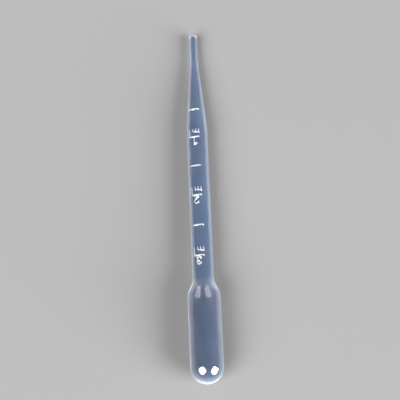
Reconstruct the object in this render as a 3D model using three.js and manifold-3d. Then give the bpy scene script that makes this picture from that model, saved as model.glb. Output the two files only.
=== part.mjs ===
// Graduated transfer pipette, blow moulded in one piece from low-density polyethylene.
// Millimetres, +Z up. It lies at rest on the ground, tip towards +Y, origin under its middle.
import * as THREE from 'three';
import { mergeVertices } from 'three/addons/utils/BufferGeometryUtils.js';
import Module from 'manifold-3d';

const wasm = await Module();
wasm.setup();

// Lengths along the axis, from the closed end of the bulb to the open tip
const bulbLength = 36.8;
const shoulderLength = 5.3;
const stemLength = 67.9;
const taperLength = 32.3;
const tipLength = 12.7;

// Outside diameters
const bulbDiameter = 13.3;
const stemDiameter = 8.6;
const tipDiameter = 3.1;

// Wall thicknesses, and the bore of the tip
const bulbWall = 0.5;
const bulbEndWall = 0.9;
const stemWall = 0.8;
const tipBore = 1.5;

// Outside radii of the rounded corners along the body
const bulbCornerRadius = 3;
const neckCornerRadius = 2.5;
const taperCornerRadius = 24;

// Raised graduations: a line every half millilitre, a number and a unit at each whole one
const firstLineFromTip = 36.8;
const linePitch = 13.2;
const lineCount = 6;
const linesPerNumber = 2;
const lineLength = 4.3;
const lineWidth = 0.6;
const markHeight = 0.25;
const letterStroke = 0.45;
const numberHeight = 3.4;
const numberWidth = 2.3;
const unitHeight = 2.9;
const smallLetterHeight = 1.6;
const smallLetterWidth = 2.9;
const letterGap = 1.15;
const letterToLine = 0.25;

// How far the graduations are turned away from straight up as the pipette lies
const graduationTurn = THREE.MathUtils.degToRad(-19);

// Facets
const sidesAround = 40;
const domeSteps = 8;
const cornerSteps = 3;
const curveSteps = 4;
const bendStep = 0.6;

// Stations along the axis worked out from the lengths
const shoulderStart = bulbLength;
const stemStart = shoulderStart + shoulderLength;
const taperStart = stemStart + stemLength;
const tipStart = taperStart + taperLength;
const overallLength = tipStart + tipLength;

// ---- Body of revolution ----

// A point of the section: half its diameter from the axis, at a station along it
const wallPoint = (diameter, station) => new THREE.Vector2(diameter / 2, station);

// The run is straight between its corners, and each corner with a radius is rounded to it.
function roundedRun(corners) {
  return corners.flatMap(({ point, radius }, i) => {
    if (!radius) return [point];
    const back = corners[i - 1].point.clone().sub(point).normalize();
    const on = corners[i + 1].point.clone().sub(point).normalize();
    const halfOpening = Math.acos(THREE.MathUtils.clamp(back.dot(on), -1, 1)) / 2;
    const toCentre = back.clone().add(on).normalize().multiplyScalar(radius / Math.sin(halfOpening));
    const centre = point.clone().add(toCentre);
    const reach = radius / Math.tan(halfOpening);
    const first = back.multiplyScalar(reach).sub(toCentre);
    const last = on.multiplyScalar(reach).sub(toCentre);
    const sweep = Math.atan2(first.cross(last), first.dot(last));
    return Array.from({ length: cornerSteps + 1 }, (_, k) =>
      first.clone().rotateAround(new THREE.Vector2(), (sweep * k) / cornerSteps).add(centre));
  });
}

// A closed dome on the axis that ends where the straight wall begins
function dome(radius, axisStation, rimStation) {
  return Array.from({ length: domeSteps }, (_, k) => {
    const angle = (k / domeSteps) * (Math.PI / 2);
    const depth = rimStation - axisStation;
    return new THREE.Vector2(radius * Math.sin(angle), rimStation - depth * Math.cos(angle));
  });
}

const bulbBore = bulbDiameter - 2 * bulbWall;
const stemBore = stemDiameter - 2 * stemWall;

// A corner on the inside of the wall is rounded to the outside radius less or plus the
// wall, so that the wall keeps its thickness round the bend.
const outside = [
  ...dome(bulbDiameter / 2, 0, bulbDiameter / 2),
  ...roundedRun([
    { point: wallPoint(bulbDiameter, bulbDiameter / 2) },
    { point: wallPoint(bulbDiameter, shoulderStart), radius: bulbCornerRadius },
    { point: wallPoint(stemDiameter, stemStart), radius: neckCornerRadius },
    { point: wallPoint(stemDiameter, taperStart), radius: taperCornerRadius },
    { point: wallPoint(tipDiameter, tipStart), radius: taperCornerRadius },
    { point: wallPoint(tipDiameter, overallLength) },
  ]),
];
const inside = [
  ...dome(bulbBore / 2, bulbEndWall, bulbDiameter / 2),
  ...roundedRun([
    { point: wallPoint(bulbBore, bulbDiameter / 2) },
    { point: wallPoint(bulbBore, shoulderStart), radius: bulbCornerRadius - bulbWall },
    { point: wallPoint(stemBore, stemStart), radius: neckCornerRadius + stemWall },
    { point: wallPoint(stemBore, taperStart), radius: taperCornerRadius - stemWall },
    { point: wallPoint(tipBore, tipStart), radius: taperCornerRadius + stemWall },
    { point: wallPoint(tipBore, overallLength) },
  ]),
];
const section = [...outside, ...inside.reverse()];

// Turned by half a side, so that a flat side and not an edge faces straight down
const bodyGeometry = new THREE.LatheGeometry(section, sidesAround, Math.PI / sidesAround);

// ---- Raised marks ----

// Strokes are rooted halfway into the wall of the stem
const markRoot = stemWall / 2;

// Outside radius of the body at a station
function surfaceRadius(station) {
  const beyond = outside.findIndex((point) => point.y > station);
  const a = outside[beyond - 1];
  const b = outside[beyond];
  return THREE.MathUtils.mapLinear(station, a.y, b.y, a.x, b.x);
}

// Extra points along a stroke that runs round the stem, so that it bends with the wall
function bendable(points) {
  const ends = points.slice(1).flatMap((end, i) => {
    const start = points[i];
    const steps = Math.max(1, Math.ceil(Math.abs(end.x - start.x) / bendStep));
    return Array.from({ length: steps }, (_, k) => start.clone().lerp(end, (k + 1) / steps));
  });
  return [points[0], ...ends];
}

// From each point of a centreline to the edge of its stroke, mitred at the bends
function edgeOffsets(points, width) {
  const runs = points.slice(1).map((point, i) => point.clone().sub(points[i]).normalize());
  return points.map((_, i) => {
    const before = runs[Math.max(i - 1, 0)];
    const after = runs[Math.min(i, runs.length - 1)];
    const along = before.clone().add(after).normalize();
    return new THREE.Vector2(-along.y, along.x).multiplyScalar(width / 2 / along.dot(after));
  });
}

// A bar that follows a centreline, wrapped onto the wall. The centreline is drawn flat, as
// it reads with the tip held down: x to the right, and y up from the line at the station.
function raisedStroke(centreline, width, station) {
  const points = bendable(centreline);
  const offsets = edgeOffsets(points, width);
  const runs = points.length - 1;
  const geometry = new THREE.BoxGeometry(1, 1, 1, runs, 1, 1);
  const position = geometry.getAttribute('position');
  const wrapRadius = surfaceRadius(station);
  for (let i = 0; i < position.count; i += 1) {
    const step = Math.round((position.getX(i) + 0.5) * runs);
    const flat = points[step].clone().addScaledVector(offsets[step], 2 * position.getY(i));
    const turn = flat.x / wrapRadius;
    const y = station - flat.y;
    const radius = surfaceRadius(y) + (position.getZ(i) > 0 ? markHeight : -markRoot);
    position.setXYZ(i, -radius * Math.sin(turn), y, radius * Math.cos(turn));
  }
  return geometry;
}

const line = (...pairs) => pairs.map(([x, y]) => new THREE.Vector2(x, y));
const arc = (x, y, radiusX, radiusY, startDeg, endDeg) =>
  new THREE.EllipseCurve(
    x, y, radiusX, radiusY,
    THREE.MathUtils.degToRad(startDeg), THREE.MathUtils.degToRad(endDeg), endDeg < startDeg,
  ).getPoints(curveSteps);

// Centrelines of the numbers, which stand above their line
const numberBase = lineWidth / 2 + letterToLine + letterStroke / 2;
const numberTop = numberBase + numberHeight - letterStroke;
const numberHalf = (numberWidth - letterStroke) / 2;
const bowl = (numberTop - numberBase) / 4;
const numbers = {
  1: [
    line([0, numberBase], [0, numberTop]),
    line([0, numberTop], [-numberHalf, numberTop - numberHalf]),
  ],
  2: [
    [
      ...arc(0, numberTop - numberHalf, numberHalf, numberHalf, 170, -35),
      ...line([-numberHalf, numberBase]),
    ],
    line([-numberHalf, numberBase], [numberHalf, numberBase]),
  ],
  3: [
    arc(0, numberTop - bowl, numberHalf, bowl, 160, -90),
    arc(0, numberBase + bowl, numberHalf, bowl, 90, -160),
  ],
};

// Centrelines of the unit, ml, which stands below the line
const unitTop = -lineWidth / 2 - letterToLine;
const unitBase = unitTop - unitHeight;
const unitWidth = smallLetterWidth + letterGap + letterStroke;
const mLeft = (letterStroke - unitWidth) / 2;
const mArch = (smallLetterWidth - letterStroke) / 4;
const mTop = unitBase + smallLetterHeight - letterStroke / 2;
const mArches = [1, 3].map((n) => [
  ...arc(mLeft + n * mArch, mTop - mArch, mArch, mArch, 180, 0),
  ...line([mLeft + (n + 1) * mArch, unitBase]),
]);
const lMiddle = (unitWidth - letterStroke) / 2;
const unit = [
  line([mLeft, unitBase], [mLeft, mTop + letterStroke / 2]),
  ...mArches,
  line([lMiddle, unitBase], [lMiddle, unitTop]),
];

const halfLine = lineLength / 2;
const marks = Array.from({ length: lineCount }, (_, i) => {
  const station = overallLength - firstLineFromTip - i * linePitch;
  const strokes = [raisedStroke(line([-halfLine, 0], [halfLine, 0]), lineWidth, station)];
  const isNumbered = (i + 1) % linesPerNumber === 0;
  if (isNumbered) {
    const number = numbers[(i + 1) / linesPerNumber];
    const letters = [...number, ...unit];
    strokes.push(...letters.map((centreline) => raisedStroke(centreline, letterStroke, station)));
  }
  return strokes;
}).flat();

// ---- Joining ----

function toSolid(geometry) {
  geometry.deleteAttribute('normal');
  geometry.deleteAttribute('uv');
  const merged = mergeVertices(geometry);
  return new wasm.Manifold(new wasm.Mesh({
    numProp: 3,
    vertProperties: new Float32Array(merged.getAttribute('position').array),
    triVerts: new Uint32Array(merged.getIndex().array),
  }));
}

function toGeometry(solid) {
  const { vertProperties, triVerts } = solid.getMesh();
  const geometry = new THREE.BufferGeometry();
  geometry.setAttribute('position', new THREE.BufferAttribute(vertProperties, 3));
  geometry.setIndex(new THREE.BufferAttribute(triVerts, 1));
  geometry.computeVertexNormals();
  return geometry;
}

const moulding = marks
  .map((mark) => toSolid(mark.rotateY(graduationTurn)))
  .reduce((whole, mark) => whole.add(mark), toSolid(bodyGeometry));

// ---- How it lies ----

// Balance point along the axis: each edge of the section sweeps a slice of a cone
function balanceStation() {
  let volume = 0;
  let moment = 0;
  section.slice(1).forEach((b, i) => {
    const a = section[i];
    const length = b.y - a.y;
    volume += (length * (a.x * a.x + a.x * b.x + b.x * b.x)) / 3;
    moment += (length * (a.y + b.y) * (a.x * a.x + a.x * b.x + b.x * b.x)) / 6;
  });
  return moment / volume;
}

// It lies along the straight edge that touches it on both sides of its balance point,
// which of all such pairs of outline points is the edge that passes furthest out.
function restingSlope() {
  const balance = balanceStation();
  const chords = outside.filter((point) => point.y <= balance).flatMap((a) =>
    outside.filter((point) => point.y > balance).map((b) => ({
      slope: (a.x - b.x) / (b.y - a.y),
      reach: THREE.MathUtils.mapLinear(balance, a.y, b.y, a.x, b.x),
    })));
  return chords.reduce((best, chord) => (chord.reach > best.reach ? chord : best)).slope;
}

const polyethylene = new THREE.MeshStandardMaterial({ color: 0xb9c4d2, roughness: 0.3, metalness: 0 });
const pipette = new THREE.Mesh(toGeometry(moulding), polyethylene);
pipette.name = 'pipette';

// Flat sides touch the ground, so the slope is that of the middle of a side
pipette.rotation.x = -Math.atan(restingSlope() * Math.cos(Math.PI / sidesAround));
pipette.updateMatrixWorld();
const box = new THREE.Box3().setFromObject(pipette, true);
pipette.position.set(-(box.min.x + box.max.x) / 2, -(box.min.y + box.max.y) / 2, -box.min.z);

const model = new THREE.Group();
model.add(pipette);

export default model;
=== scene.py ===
import math

import bpy
import numpy as np
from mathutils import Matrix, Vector


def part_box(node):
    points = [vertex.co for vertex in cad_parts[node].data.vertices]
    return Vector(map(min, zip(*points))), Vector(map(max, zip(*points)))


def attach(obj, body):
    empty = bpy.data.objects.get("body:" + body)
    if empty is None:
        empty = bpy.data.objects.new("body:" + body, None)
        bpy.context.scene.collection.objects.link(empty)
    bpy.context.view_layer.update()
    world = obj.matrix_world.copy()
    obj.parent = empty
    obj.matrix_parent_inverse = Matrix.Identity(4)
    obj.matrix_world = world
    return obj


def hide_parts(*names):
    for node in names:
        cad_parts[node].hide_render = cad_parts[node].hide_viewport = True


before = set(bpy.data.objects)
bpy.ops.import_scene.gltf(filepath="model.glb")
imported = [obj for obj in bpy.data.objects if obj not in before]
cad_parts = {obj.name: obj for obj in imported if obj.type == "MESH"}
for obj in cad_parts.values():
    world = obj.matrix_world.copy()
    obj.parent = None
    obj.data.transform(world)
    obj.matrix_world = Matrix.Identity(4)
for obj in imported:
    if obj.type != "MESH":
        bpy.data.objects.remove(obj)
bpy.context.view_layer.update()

# ---- Shell -------------------------------------------------------------------------------
# The pipette is one hollow piece of milky low-density polyethylene. A hot tube of it is
# blown out against the two halves of a mould, which closes the bulb, leaves the wall thin
# where it swells most and raises the graduations, and then the tip is cut to length.
MM = 0.001

# Lengths along the axis, from the closed end of the bulb to the open tip
bulb_length = 36.8 * MM
shoulder_length = 5.3 * MM
stem_length = 67.9 * MM
taper_length = 32.3 * MM
tip_length = 12.7 * MM
shoulder_start = bulb_length
stem_start = shoulder_start + shoulder_length
taper_start = stem_start + stem_length
tip_start = taper_start + taper_length
overall_length = tip_start + tip_length

# Outside and inside radii, and the rounding of the corners on the outside
bulb_radius = 6.65 * MM
stem_radius = 4.3 * MM
tip_radius = 1.55 * MM
bulb_wall = 0.5 * MM
bulb_end_wall = 0.9 * MM
stem_wall = 0.8 * MM
tip_bore_radius = 0.75 * MM
bulb_corner = 3 * MM
neck_corner = 2.5 * MM
taper_corner = 24 * MM
cut_edge = 0.12 * MM

# Points along the closed end and round each rounded corner of the outline
dome_steps = 26
corner_steps = 8


def rounded_run(corners):
    """Points (radius, station) along straight runs whose corners are rounded to a radius."""
    points = []
    for i, (radius, station, rounding) in enumerate(corners):
        corner = np.array([radius, station])
        if not rounding:
            points.append(corner)
            continue
        back = np.array(corners[i - 1][:2]) - corner
        on = np.array(corners[i + 1][:2]) - corner
        back /= np.linalg.norm(back)
        on /= np.linalg.norm(on)
        half_opening = math.acos(float(back @ on)) / 2
        middle = (back + on) / np.linalg.norm(back + on)
        centre = corner + middle * rounding / math.sin(half_opening)
        reach = rounding / math.tan(half_opening)
        first = corner + back * reach - centre
        last = corner + on * reach - centre
        sweep = math.atan2(first[0] * last[1] - first[1] * last[0], float(first @ last))
        for k in range(corner_steps + 1):
            turn = sweep * k / corner_steps
            spun = (
                first[0] * math.cos(turn) - first[1] * math.sin(turn),
                first[0] * math.sin(turn) + first[1] * math.cos(turn),
            )
            points.append(centre + spun)
    return np.array(points)


def dome(radius, end_station, rim_station):
    """Points of a closed end, from the axis to where the straight wall begins."""
    angles = np.linspace(0, math.pi / 2, dome_steps, endpoint=False)
    depth = rim_station - end_station
    return np.column_stack([radius * np.sin(angles), rim_station - depth * np.cos(angles)])


outside = np.vstack([
    dome(bulb_radius, 0.0, bulb_radius),
    rounded_run([
        (bulb_radius, bulb_radius, 0),
        (bulb_radius, shoulder_start, bulb_corner),
        (stem_radius, stem_start, neck_corner),
        (stem_radius, taper_start, taper_corner),
        (tip_radius, tip_start, taper_corner),
        (tip_radius, overall_length, cut_edge),
        (tip_bore_radius, overall_length, 0),
    ]),
])
bulb_bore = bulb_radius - bulb_wall
stem_bore = stem_radius - stem_wall
inside = np.vstack([
    dome(bulb_bore, bulb_end_wall, bulb_radius),
    rounded_run([
        (bulb_bore, bulb_radius, 0),
        (bulb_bore, shoulder_start, bulb_corner - bulb_wall),
        (stem_bore, stem_start, neck_corner + stem_wall),
        (stem_bore, taper_start, taper_corner - stem_wall),
        (tip_bore_radius, tip_start, taper_corner + stem_wall),
        (tip_bore_radius, overall_length, cut_edge),
        (tip_radius, overall_length, 0),
    ]),
])

# The last point of each only gave its corner a direction
outside = outside[:-1]
inside = inside[:-1]

# Raised graduations: a line for each half millilitre, a number and a unit at each whole one.
# Nothing of a mark lies further from its line than its reach.
first_line_from_tip = 36.8 * MM
line_pitch = 13.2 * MM
line_count = 6
line_length = 4.3 * MM
line_width = 0.6 * MM
letter_stroke = 0.45 * MM
mark_height = 0.25 * MM
number_height = 3.4 * MM
number_width = 2.3 * MM
unit_height = 2.9 * MM
small_letter_height = 1.6 * MM
small_letter_width = 2.9 * MM
letter_gap = 1.15 * MM
letter_to_line = 0.25 * MM
mark_reach = 5 * MM
ridge_sharpness = 1.3
graduation_turn = math.radians(-19)
line_stations = [
    overall_length - first_line_from_tip - i * line_pitch for i in range(line_count)
]


def arc(x, y, radius_x, radius_y, start, end, steps=14):
    """Points along part of an ellipse, between two angles in degrees."""
    angles = np.radians(np.linspace(start, end, steps + 1))
    return [(x + radius_x * math.cos(a), y + radius_y * math.sin(a)) for a in angles]


# Centrelines as they read with the tip held down: x to the right, y up from their line
number_base = line_width / 2 + letter_to_line + letter_stroke / 2
number_top = number_base + number_height - letter_stroke
number_half = (number_width - letter_stroke) / 2
bowl = (number_top - number_base) / 4
numbers = {
    1: [
        [(0, number_base), (0, number_top)],
        [(0, number_top), (-number_half, number_top - number_half)],
    ],
    2: [
        arc(0, number_top - number_half, number_half, number_half, 170, -35)
        + [(-number_half, number_base), (number_half, number_base)],
    ],
    3: [
        arc(0, number_top - bowl, number_half, bowl, 160, -90),
        arc(0, number_base + bowl, number_half, bowl, 90, -160),
    ],
}
unit_top = -line_width / 2 - letter_to_line
unit_base = unit_top - unit_height
unit_width = small_letter_width + letter_gap + letter_stroke
m_left = (letter_stroke - unit_width) / 2
m_arch = (small_letter_width - letter_stroke) / 4
m_top = unit_base + small_letter_height - letter_stroke / 2
unit = [[(m_left, unit_base), (m_left, m_top + letter_stroke / 2)]]
for n in (1, 3):
    leg = [(m_left + (n + 1) * m_arch, unit_base)]
    unit.append(arc(m_left + n * m_arch, m_top - m_arch, m_arch, m_arch, 180, 0) + leg)
l_middle = (unit_width - letter_stroke) / 2
unit.append([(l_middle, unit_base), (l_middle, unit_top)])


def distance_to(stroke, x, y):
    """Distance from each point to a stroke's centreline."""
    nearest = np.full(x.shape, np.inf)
    for (ax, ay), (bx, by) in zip(stroke, stroke[1:]):
        run = (bx - ax) ** 2 + (by - ay) ** 2
        along = np.clip(((x - ax) * (bx - ax) + (y - ay) * (by - ay)) / run, 0, 1)
        gap = np.hypot(x - ax - along * (bx - ax), y - ay - along * (by - ay))
        nearest = np.minimum(nearest, gap)
    return nearest


def crown(distance, width):
    """Height from 1 to 0 of a rounded ridge of that width, at a distance from its middle."""
    across = np.clip(distance / (width / 2), 0, 1)
    return np.cos(across * math.pi / 2) ** ridge_sharpness


def raised_marks(station, turn):
    """How far the graduations stand out of the wall at each station and turn."""
    height = np.zeros(station.shape)
    for i, line_station in enumerate(line_stations):
        near = np.abs(station - line_station) < mark_reach
        wrap_radius = np.interp(line_station, outside[:, 1], outside[:, 0])
        x = (graduation_turn - turn[near]) * wrap_radius
        y = line_station - station[near]
        line = [(-line_length / 2, 0), (line_length / 2, 0)]
        mark = crown(distance_to(line, x, y), line_width)
        if i % 2 == 1:
            for stroke in numbers[(i + 1) // 2] + unit:
                mark = np.maximum(mark, crown(distance_to(stroke, x, y), letter_stroke))
        height[near] = mark * mark_height
    return height


# The mould parts along the two sides halfway round from the graduations, and its joint
# leaves a faint ridge there and across the closed end.
parting_turns = [graduation_turn - math.pi / 2, graduation_turn + math.pi / 2]
parting_width = 0.3 * MM
parting_height = 0.05 * MM

# Inside, where no mould touches it, the wall is never quite even: waves as the number of
# them round the bore, their length along it and their phase
unevenness = 0.01 * MM
waves = ((1, 31 * MM, 0.9), (2, 17 * MM, 2.1), (3, -11 * MM, 4.0), (5, 7 * MM, 5.2))


def uneven_wall(radius, station, turn):
    """How far the inside stands out at each place, less where the bore is narrow."""
    swell = sum(
        np.sin(count * turn + 2 * math.pi * station / length + phase)
        for count, length, phase in waves
    )
    return unevenness * swell / 2 * radius / bulb_bore


# Columns round the shell, in degrees, and rows along it, in millimetres. They stand closer
# together at the parting lines and through the graduations. There the rows reach that far
# towards the bulb and towards the tip, from a plain line and from a numbered one.
column_step = 5
parting_columns = [-1.8, -0.9, 0.9, 1.8]
row_step = 0.9
first_row, last_row = 7, 154.5
mark_row_step = 0.4
line_rows = (0.8, 0.8)
numbered_line_rows = (4.4, 4.0)
least_row_gap = 0.03 * MM
inner_row_step = 1.2
first_inner_row, last_inner_row = 8, 154
turns = graduation_turn + np.radians(np.arange(-180, 180, column_step))
for parting in parting_turns:
    turns = np.append(turns, parting + np.radians(parting_columns))
turns = np.sort(turns)
rows = [outside[:, 1], np.arange(first_row, last_row, row_step) * MM]
for i, line_station in enumerate(line_stations):
    bulbward, tipward = numbered_line_rows if i % 2 == 1 else line_rows
    mark_rows = np.arange(-bulbward, tipward + mark_row_step / 4, mark_row_step)
    rows.append(line_station + mark_rows * MM)
rows = np.unique(np.concatenate(rows))
rows = rows[np.append(True, np.diff(rows) > least_row_gap)]
outer_radii = np.interp(rows, outside[:, 1], outside[:, 0])
inner_rows = np.arange(first_inner_row, last_inner_row, inner_row_step) * MM
inner_rows = np.unique(np.concatenate([inside[:, 1], inner_rows]))
inner_radii = np.interp(inner_rows, inside[:, 1], inside[:, 0])
section = np.vstack([
    np.column_stack([outer_radii, rows]),
    np.column_stack([inner_radii, inner_rows])[::-1],
])

# Outward direction of the section at each of its points
slope = np.gradient(section, axis=0)
slope /= np.linalg.norm(slope, axis=1)[:, None]
outward = np.column_stack([slope[:, 1], -slope[:, 0]])
outward[0] = (0, -1)

# The cells that a graduation reaches are split finely. A place on the shell is a pair of
# whole numbers: fine steps along the section and fine steps round it. Only the columns
# this many degrees to either side of the middle of the graduations can be reached, and
# only a height over the least one counts.
fine = 8
marked_half_turn = 41
least_mark = mark_height / 50
ring_count = len(section)
column_count = len(turns)
round_steps = column_count * fine
closed_turns = np.append(turns, turns[0] + 2 * math.pi)


def between(values, place):
    """Values that are given at whole cells, at places counted in fine steps."""
    return np.interp(place / fine, np.arange(len(values)), values)


def on_shell(along, around):
    """Points of the shell at those places, and how far the graduations raise each."""
    radius = between(section[:, 0], along)
    station = between(section[:, 1], along)
    turn = between(closed_turns, around)
    is_outside = along < len(rows) * fine
    marks = raised_marks(station, turn) * is_outside
    from_parting = np.abs(radius * np.cos(turn - graduation_turn))
    ridge = crown(from_parting, parting_width) * parting_height
    swell = uneven_wall(radius, station, turn)
    height = np.where(is_outside, np.maximum(marks, ridge), swell)
    radius += height * between(outward[:, 0], along)
    station += height * between(outward[:, 1], along)
    places = np.stack([radius * np.sin(turn), station, radius * np.cos(turn)], axis=-1)
    return places, marks


reached = np.zeros((ring_count, column_count), dtype=bool)
marked_turns = graduation_turn + np.radians([-marked_half_turn, marked_half_turn])
first_column, last_column = np.searchsorted(turns, marked_turns)
along_marks = np.arange(len(rows) * fine - fine + 1)
around_marks = np.arange(first_column * fine, last_column * fine + 1)
marks = on_shell(*np.meshgrid(along_marks, around_marks, indexing="ij"))[1]
for ring in range(len(rows) - 1):
    for column in range(first_column, last_column):
        around = (column - first_column) * fine
        cell = marks[ring * fine:ring * fine + fine + 1, around:around + fine + 1]
        reached[ring, column] = cell.max() > least_mark


def edge(start, end, split):
    """Places from one corner of a cell up to the next, every fine step if it is split."""
    count = fine if split else 1
    return [
        (
            start[0] + (end[0] - start[0]) * k // count,
            start[1] + (end[1] - start[1]) * k // count,
        )
        for k in range(count)
    ]


# A plain cell next to a split one shares its points along their edge, and is filled with
# triangles round its middle. The closed end is a fan round the axis, outside and inside.
cells = []
for ring in range(1, ring_count - 2):
    for column in range(column_count):
        top, left = ring * fine, column * fine
        if reached[ring, column]:
            cells += [
                [(a, b), (a, b + 1), (a + 1, b + 1), (a + 1, b)]
                for a in range(top, top + fine)
                for b in range(left, left + fine)
            ]
            continue
        bottom, right = top + fine, left + fine
        corners = [(top, left), (top, right), (bottom, right), (bottom, left)]
        split = (
            reached[ring - 1, column],
            reached[ring, (column + 1) % column_count],
            reached[ring + 1, column],
            reached[ring, column - 1],
        )
        outline = [
            place
            for k in range(4)
            for place in edge(corners[k], corners[(k + 1) % 4], split[k])
        ]
        if any(split):
            cell_middle = (top + fine // 2, left + fine // 2)
            cells += [
                [cell_middle, a, b] for a, b in zip(outline, outline[1:] + outline[:1])
            ]
        else:
            cells.append(outline)
last_ring = (ring_count - 1) * fine
for left in range(0, round_steps, fine):
    cells.append([(0, 0), (fine, left + fine), (fine, left)])
    cells.append([(last_ring, 0), (last_ring - fine, left), (last_ring - fine, left + fine)])

point_of_place = {}
faces = [
    [point_of_place.setdefault((a, b % round_steps), len(point_of_place)) for a, b in cell]
    for cell in cells
]
along, around = np.array(list(point_of_place)).T
points, marks = on_shell(along, around)

# It lies on the edge of the bulb's shoulder and on the far end of the stem: of all the
# lines that touch the outline on both sides of its middle, the one furthest out.
near = outside[outside[:, 1] <= overall_length / 2]
far = outside[outside[:, 1] > overall_length / 2]
run = far[None, :, 1] - near[:, None, 1]
fall = (near[:, None, 0] - far[None, :, 0]) / run
reach = near[:, None, 0] - fall * (overall_length / 2 - near[:, None, 1])
resting_slope = float(fall.reshape(-1)[int(np.argmax(reach))])
tilt = -math.atan(resting_slope)
tilted = points.copy()
tilted[:, 1] = points[:, 1] * math.cos(tilt) - points[:, 2] * math.sin(tilt)
tilted[:, 2] = points[:, 1] * math.sin(tilt) + points[:, 2] * math.cos(tilt)

low, high = (np.array(corner_of_box) for corner_of_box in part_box("pipette"))
middle = (tilted.min(axis=0) + tilted.max(axis=0)) / 2
tilted[:, :2] += ((low + high) / 2 - middle)[:2]
tilted[:, 2] += low[2] - tilted[:, 2].min()

shell_mesh = bpy.data.meshes.new("pipette_shell")
shell_mesh.from_pydata(tilted.tolist(), [], faces)
shell_mesh.validate()
shell_mesh.shade_smooth()
shell = bpy.data.objects.new("pipette_shell", shell_mesh)
bpy.context.scene.collection.objects.link(shell)


class Socket:
    """An output of a shader node. Arithmetic on it adds Math nodes to the same material."""

    def __init__(self, tree, output):
        self.tree = tree
        self.output = output

    def node(self, kind, settings=(), inputs=(), output=0):
        """Adds a node of that type, sets it up, fills its sockets and gives an output of it."""
        made = self.tree.nodes.new(kind)
        for name, value in dict(settings).items():
            setattr(made, name, value)
        for name, value in dict(inputs).items():
            if isinstance(value, Socket):
                self.tree.links.new(value.output, made.inputs[name])
            else:
                made.inputs[name].default_value = value
        return Socket(self.tree, made.outputs[output])

    def maths(self, operation, *values):
        """Adds a Math node on those values."""
        return self.node("ShaderNodeMath", {"operation": operation}, dict(enumerate(values)))

    def __add__(self, other):
        return self.maths("ADD", self, other)

    def __sub__(self, other):
        return self.maths("SUBTRACT", self, other)

    def __rsub__(self, other):
        return self.maths("SUBTRACT", other, self)

    def __mul__(self, other):
        return self.maths("MULTIPLY", self, other)

    __radd__ = __add__
    __rmul__ = __mul__


# Milky polyethylene: cloudy rather than clear, with faint lines where it flowed along the
# tube, a fine grain from the mould and a soft white bloom at a glancing angle. It scatters
# blue light more than red. Its tint is darker than the colourless plastic's own, a painted
# shade, so that it keeps its blue-grey look on a light floor. The raised marks and the cut
# tip take a whiter, less clear and rougher copy of it; on the marks the whiter colour is a
# painted highlight. Noise stays near a half, so the haze is spread out by its contrast to
# reach both colours.
haze_contrast = 2.5


def milky(name, transmission, roughness, thin_colour, thick_colour):
    """A polyethylene finish, from its clearest colour to its cloudiest."""
    material = bpy.data.materials.new(name)
    material.use_nodes = True
    tree = material.node_tree
    surface = tree.nodes["Principled BSDF"]
    surface.inputs["IOR"].default_value = 1.51
    surface.inputs["Transmission Weight"].default_value = transmission
    surface.inputs["Specular IOR Level"].default_value = 0.8
    surface.inputs["Coat Weight"].default_value = 1.0
    surface.inputs["Coat IOR"].default_value = 1.85
    surface.inputs["Coat Roughness"].default_value = roughness + 0.01
    surface.inputs["Sheen Weight"].default_value = 0.5
    surface.inputs["Sheen Roughness"].default_value = 0.42
    surface.inputs["Sheen Tint"].default_value = (0.78, 0.88, 1.0, 1)
    place = Socket(tree, tree.nodes.new("ShaderNodeTexCoord").outputs["Object"])
    cloud = place.node(
        "ShaderNodeTexNoise", {},
        {"Vector": place, "Scale": 260.0, "Detail": 4.0, "Roughness": 0.55},
    )
    along = place.node("ShaderNodeMapping", {}, {"Vector": place, "Scale": (1.0, 0.04, 1.0)})
    flow = place.node(
        "ShaderNodeTexNoise", {},
        {"Vector": along, "Scale": 900.0, "Detail": 3.0, "Roughness": 0.5},
    )
    grain = place.node(
        "ShaderNodeTexNoise", {},
        {"Vector": place, "Scale": 5200.0, "Detail": 2.0, "Roughness": 0.6},
    )
    haze = (cloud * 0.6 + flow * 0.4 - 0.5) * haze_contrast + 0.5
    colour = place.node(
        "ShaderNodeMix", {"data_type": "RGBA"},
        {"Factor": haze, "A": thin_colour, "B": thick_colour}, 2,
    )
    tree.links.new(colour.output, surface.inputs["Base Color"])
    uneven_gloss = roughness + haze * 0.02 + grain * 0.01
    tree.links.new(uneven_gloss.output, surface.inputs["Roughness"])
    relief = flow * 0.6 + grain * 0.4
    bump = place.node(
        "ShaderNodeBump", {}, {"Height": relief, "Strength": 0.12, "Distance": 0.00004}
    )
    tree.links.new(bump.output, surface.inputs["Normal"])
    milk = place.node(
        "ShaderNodeVolumeScatter", {}, {"Color": (0.10, 0.43, 1.0, 1), "Density": 255.0}
    )
    tree.links.new(milk.output, tree.nodes["Material Output"].inputs["Volume"])
    return material


# The main finish's dark tint is painted shade, darker than the plastic's own
shell_mesh.materials.append(milky(
    "milky_polyethylene", 0.985, 0.025, (0.31, 0.33, 0.40, 1), (0.41, 0.43, 0.50, 1)
))
# The whiter finish: on the raised marks it is a painted highlight, standing in for the glints
# and the thicker plastic that make them look white; the cut tip takes it too
shell_mesh.materials.append(milky(
    "milky_polyethylene_raised", 0.87, 0.46, (0.40, 0.46, 0.54, 1), (0.50, 0.55, 0.62, 1)
))

# A face takes the whiter finish if more than half of its corners stand on a mark or on the
# cut; on the marks that whiter colour is a painted highlight
raised_from = 0.09 * MM
cut_from = overall_length - 0.05 * MM
most = 0.5
painted_highlight_or_cut = (marks > raised_from) | (points[:, 1] > cut_from)
for face, polygon in zip(faces, shell_mesh.polygons):
    polygon.material_index = int(painted_highlight_or_cut[face].mean() > most)

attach(shell, "root")
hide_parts("pipette")

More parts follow.
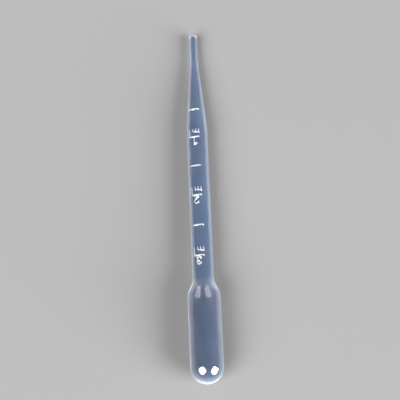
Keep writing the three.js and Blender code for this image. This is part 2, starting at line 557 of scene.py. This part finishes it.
# ---- Floor -------------------------------------------------------------------------------
# A plain studio floor, a broad smooth board of matt laminate. Its own colour is a dark
# grey, which the strong lamps light up to a pale one. It is the stage and not part of the
# pipette.
floor_half = 30.0
floor_mesh = bpy.data.meshes.new("floor")
floor_mesh.from_pydata(
    [(-floor_half, -floor_half, 0), (floor_half, -floor_half, 0),
     (floor_half, floor_half, 0), (-floor_half, floor_half, 0)],
    [], [(0, 1, 2, 3)],
)
floor = bpy.data.objects.new("floor", floor_mesh)
bpy.context.scene.collection.objects.link(floor)
laminate = bpy.data.materials.new("matt_laminate")
laminate.use_nodes = True
matt = laminate.node_tree.nodes["Principled BSDF"]
matt.inputs["Base Color"].default_value = (0.076, 0.079, 0.084, 1)
matt.inputs["Roughness"].default_value = 1.0
matt.inputs["Specular IOR Level"].default_value = 0.0
floor_mesh.materials.append(laminate)

# ---- Light -------------------------------------------------------------------------------
# Two strong square softboxes stand on either side of the bulb end, the left one higher and
# the right one brighter, and a pale room fills in the rest. They and the camera point at
# the middle of the pipette.
centre_height = 0.006
centre = Vector((0, 0, centre_height))
softbox_distance = 6.0
softbox_side = 4.11
for side, power, direction in (
    ("left", 2300.0, (-0.568, -0.536, 0.626)),
    ("right", 3200.0, (0.770, -0.491, 0.410)),
):
    lamp = bpy.data.lights.new("softbox_" + side, "AREA")
    lamp.shape = "SQUARE"
    lamp.size = softbox_side
    lamp.energy = power
    lamp.color = (1.0, 0.95, 0.90)
    softbox = bpy.data.objects.new("softbox_" + side, lamp)
    towards = Vector(direction).normalized()
    softbox.location = centre + towards * softbox_distance
    softbox.rotation_euler = towards.to_track_quat("Z", "Y").to_euler()
    softbox.visible_camera = False
    bpy.context.scene.collection.objects.link(softbox)

room = bpy.data.worlds.new("room")
room.use_nodes = True
room.node_tree.nodes["Background"].inputs["Color"].default_value = (0.80, 0.90, 1.0, 1)
room.node_tree.nodes["Background"].inputs["Strength"].default_value = 0.20
bpy.context.scene.world = room

# Light that reaches the eye has crossed up to four walls and scattered in them
bpy.context.scene.cycles.max_bounces = 24
bpy.context.scene.cycles.transmission_bounces = 16
bpy.context.scene.cycles.volume_bounces = 4

# ---- Camera ------------------------------------------------------------------------------
# It looks down steeply from the bulb end with a long lens.
heading = math.radians(2.3)
elevation = math.radians(70.7)
camera_distance = 0.490
view_direction = Vector((
    math.sin(heading) * math.cos(elevation),
    math.cos(heading) * math.cos(elevation),
    -math.sin(elevation),
))
lens = bpy.data.cameras.new("camera")
lens.lens = 105.6
lens.sensor_width = 36
lens.clip_start = 0.01
camera = bpy.data.objects.new("camera", lens)
camera.location = centre - view_direction * camera_distance
camera.rotation_euler = (-view_direction).to_track_quat("Z", "Y").to_euler()
bpy.context.scene.collection.objects.link(camera)
bpy.context.scene.camera = camera
bpy.context.scene.view_settings.view_transform = "Standard"
